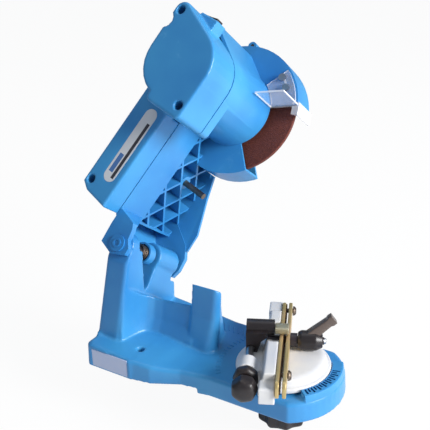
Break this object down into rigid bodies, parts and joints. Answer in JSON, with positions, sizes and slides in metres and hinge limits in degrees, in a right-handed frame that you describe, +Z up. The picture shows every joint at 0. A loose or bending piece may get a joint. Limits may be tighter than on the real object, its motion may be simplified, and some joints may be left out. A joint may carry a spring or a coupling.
{
  "type": "electric chainsaw sharpener",
  "caption": "Bench-mounted electric saw chain sharpener with a sprung tilted grinding arm, guarded wheel and swivelling chain vise.",
  "frame": {"origin": "bench face under the hinge centre", "axes": "+X from the column to the vise and operator, +Y along the vise side away from the plain side plate, +Z up from the bench"},
  "size_m": [0.2283, 0.2272, 0.3117],
  "materials": {
    "blue_plastic": "satin moulded",
    "white_casting": "satin paint on die casting",
    "black_plastic": "satin moulded",
    "zinc_yellow": "yellow zinc plated",
    "steel": "ground",
    "dark_steel": "blackened",
    "grit": "bonded abrasive",
    "clear_plastic": "clear polycarbonate",
    "pale_brass": "zinc passivated",
    "lamination": "bare laminations",
    "copper": "turned copper",
    "plate": "plain printed film"
  },
  "bodies": {
    "base": {"base_shell": "blue_plastic", "side_plate": "plate", "hinge_pin": "steel", "hinge_bush": "blue_plastic", "return_spring": "steel"},
    "arm": {"arm_housing": "blue_plastic", "arm_cover": "blue_plastic", "type_plate": "plate", "cover_screw_foot": "dark_steel", "cover_screw_lobe": "dark_steel", "cover_screw_top": "dark_steel", "cable_gland": "black_plastic", "eye_shield": "clear_plastic", "shield_screw_1": "dark_steel", "shield_screw_2": "dark_steel", "wheel_cover": "blue_plastic", "guard_screw_1": "dark_steel", "guard_screw_2": "dark_steel", "guard_screw_3": "dark_steel", "motor_stator": "lamination", "bearing_front": "steel", "bearing_rear": "steel", "brush_holder_1": "black_plastic", "brush_holder_2": "black_plastic", "depth_lock_nut": "dark_steel"},
    "spindle": {"motor_shaft": "steel", "rotor_core": "lamination", "commutator": "copper", "cooling_fan": "black_plastic", "flange_inner": "steel", "grinding_wheel": "grit", "flange_outer": "steel", "spindle_nut": "dark_steel"},
    "rocker": {"power_rocker": "black_plastic"},
    "depth_stop": {"depth_screw": "dark_steel"},
    "vise": {"vise_casting": "white_casting", "fixed_rail": "zinc_yellow", "rail_screw_far": "dark_steel", "rail_screw_near": "dark_steel", "clamp_stud": "steel", "clamp_end_nut": "dark_steel", "swivel_bolt": "steel", "swivel_washer": "steel"},
    "moving_rail": {"clamp_rail": "zinc_yellow", "clamp_sleeve": "dark_steel"},
    "lever": {"clamp_lever": "black_plastic"},
    "chain_stop": {"stop_bracket": "black_plastic"},
    "pawl": {"stop_pawl": "pale_brass"},
    "adjuster": {"adjust_knob": "black_plastic", "adjust_screw": "steel"},
    "stop_lock": {"lock_knob": "black_plastic"},
    "under_knob": {"swivel_knob": "black_plastic"}
  },
  "joints": [
    {"name": "arm_hinge", "type": "hinge", "parent": "base", "child": "arm", "pos_m": [0, 0, 0.081], "axis": [0, 0.809, -0.5878], "range_deg": [0, 60], "stiffness_Nm_per_rad": 1, "springref_deg": -40.11, "deforming": ["return_spring"]},
    {"name": "wheel_spin", "type": "hinge", "parent": "arm", "child": "spindle", "pos_m": [0.03527, 0.08271, 0.19483], "axis": [0, 0.809, -0.5878], "continuous": true},
    {"name": "rocker_tilt", "type": "hinge", "parent": "arm", "child": "rocker", "pos_m": [0.04084, 0.05827, 0.26158], "axis": [0, 0.809, -0.5878], "range_deg": [0, 6]},
    {"name": "depth_slide", "type": "slide", "parent": "arm", "child": "depth_stop", "axis": [-0.9336, 0.2106, 0.2899], "range_m": [-0.012, 0.004]},
    {"name": "vise_swivel", "type": "hinge", "parent": "base", "child": "vise", "pos_m": [0.136, 0, 0.014], "axis": [0, 0, 1], "range_deg": [-60, 10]},
    {"name": "swivel_lock_turn", "type": "hinge", "parent": "vise", "child": "under_knob", "pos_m": [0.136, 0, -0.02], "axis": [0, 0, 1], "range_deg": [-180, 180]},
    {"name": "rail_slide", "type": "slide", "parent": "vise", "child": "moving_rail", "axis": [0.9063, 0.4226, 0], "range_m": [-0.0012, 0]},
    {"name": "clamp_turn", "type": "hinge", "parent": "vise", "child": "lever", "pos_m": [0.1499, 0.01751, 0.0315], "axis": [0.9063, 0.4226, 0], "range_deg": [-70, 0]},
    {"name": "stop_slide", "type": "slide", "parent": "vise", "child": "chain_stop", "axis": [-0.4226, 0.9063, 0], "range_m": [-0.002, 0.002]},
    {"name": "adjust_turn", "type": "hinge", "parent": "vise", "child": "adjuster", "pos_m": [0.11244, -0.01099, 0.0266], "axis": [-0.4226, 0.9063, 0], "range_deg": [-720, 720]},
    {"name": "pawl_lift", "type": "hinge", "parent": "chain_stop", "child": "pawl", "pos_m": [0.12368, 0.00749, 0.041], "axis": [0.9063, 0.4226, 0], "range_deg": [-75, 0]},
    {"name": "stop_lock_turn", "type": "hinge", "parent": "vise", "child": "stop_lock", "pos_m": [0.12765, -0.04362, 0.0266], "axis": [-0.4226, 0.9063, 0], "range_deg": [-180, 180]}
  ],
  "couplings": [
    {"joint": "clamp_turn", "follows": "rail_slide", "rad_per_m": 1018.1},
    {"joint": "adjust_turn", "follows": "stop_slide", "rad_per_m": 6283.2}
  ]
}
